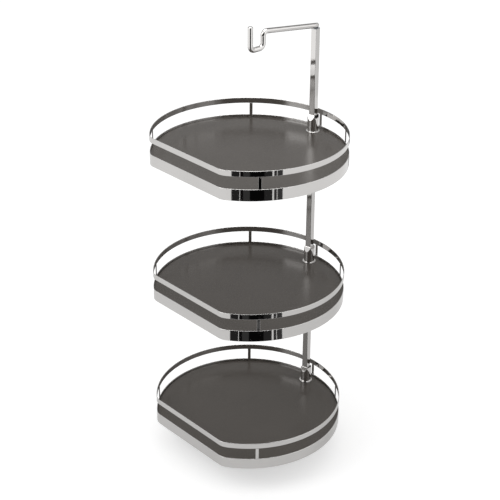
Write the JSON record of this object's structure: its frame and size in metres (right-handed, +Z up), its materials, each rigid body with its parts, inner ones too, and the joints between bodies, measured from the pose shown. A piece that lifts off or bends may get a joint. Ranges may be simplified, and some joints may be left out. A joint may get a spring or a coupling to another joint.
{
  "type": "corner carousel",
  "caption": "D-shaped railed trays on an off-centre square column; cranked arms bring it back to pivot pins, so that the whole stack turns about the trays' axis inside a corner cabinet.",
  "frame": {"origin": "on the turning axis, at the underside of the floor bearing's base plate", "axes": "+Z up along the turning axis; the trays' straight edge faces -Y and the column stands at +Y; +X to the right seen from the front"},
  "size_m": [0.5996, 0.552, 1.4214],
  "materials": {
    "chrome": "polished chrome plate",
    "zinc_plated_steel": "bright zinc plate",
    "dark_laminate": "warm dark grey laminate on particle board, satin",
    "nylon": "natural nylon"
  },
  "bodies": {
    "base": {"base_plate": "zinc_plated_steel", "bearing_housing": "zinc_plated_steel", "bearing_bush": "nylon", "thrust_washer": "nylon", "housing_screw_1": "zinc_plated_steel", "housing_screw_2": "zinc_plated_steel", "housing_screw_3": "zinc_plated_steel"},
    "column_frame": {"column": "chrome", "column_top_plug": "zinc_plated_steel", "top_arm_stud": "zinc_plated_steel", "column_foot_plug": "zinc_plated_steel", "lower_arm_stud": "zinc_plated_steel", "top_arm": "chrome", "lower_arm": "chrome"},
    "lower_tray": {"lower_board": "dark_laminate", "lower_edge_band": "chrome", "lower_gallery_rail": "chrome", "lower_post_back": "chrome", "lower_post_right": "chrome", "lower_post_left": "chrome", "lower_post_front_right": "chrome", "lower_post_front_left": "chrome", "lower_carrier_plate": "zinc_plated_steel", "lower_plate_screw_1": "zinc_plated_steel", "lower_plate_screw_2": "zinc_plated_steel", "lower_plate_screw_3": "zinc_plated_steel", "lower_plate_screw_4": "zinc_plated_steel", "lower_socket": "chrome", "lower_grub_screw": "zinc_plated_steel"},
    "middle_tray": {"middle_board": "dark_laminate", "middle_edge_band": "chrome", "middle_gallery_rail": "chrome", "middle_post_back": "chrome", "middle_post_right": "chrome", "middle_post_left": "chrome", "middle_post_front_right": "chrome", "middle_post_front_left": "chrome", "middle_carrier_plate": "zinc_plated_steel", "middle_plate_screw_1": "zinc_plated_steel", "middle_plate_screw_2": "zinc_plated_steel", "middle_plate_screw_3": "zinc_plated_steel", "middle_plate_screw_4": "zinc_plated_steel", "middle_socket": "chrome", "middle_grub_screw": "zinc_plated_steel"},
    "upper_tray": {"upper_board": "dark_laminate", "upper_edge_band": "chrome", "upper_gallery_rail": "chrome", "upper_post_back": "chrome", "upper_post_right": "chrome", "upper_post_left": "chrome", "upper_post_front_right": "chrome", "upper_post_front_left": "chrome", "upper_carrier_plate": "zinc_plated_steel", "upper_plate_screw_1": "zinc_plated_steel", "upper_plate_screw_2": "zinc_plated_steel", "upper_plate_screw_3": "zinc_plated_steel", "upper_plate_screw_4": "zinc_plated_steel", "upper_socket": "chrome", "upper_grub_screw": "zinc_plated_steel"}
  },
  "joints": [
    {"name": "carousel_turn", "type": "hinge", "parent": "base", "child": "column_frame", "pos_m": [0, 0, 0], "axis": [0, 0, 1], "continuous": true},
    {"name": "lower_tray_height", "type": "slide", "parent": "column_frame", "child": "lower_tray", "axis": [0, 0, 1], "range_m": [0, 0.15]},
    {"name": "middle_tray_height", "type": "slide", "parent": "column_frame", "child": "middle_tray", "axis": [0, 0, 1], "range_m": [-0.15, 0.15]},
    {"name": "upper_tray_height", "type": "slide", "parent": "column_frame", "child": "upper_tray", "axis": [0, 0, 1], "range_m": [-0.15, 0.2]}
  ]
}
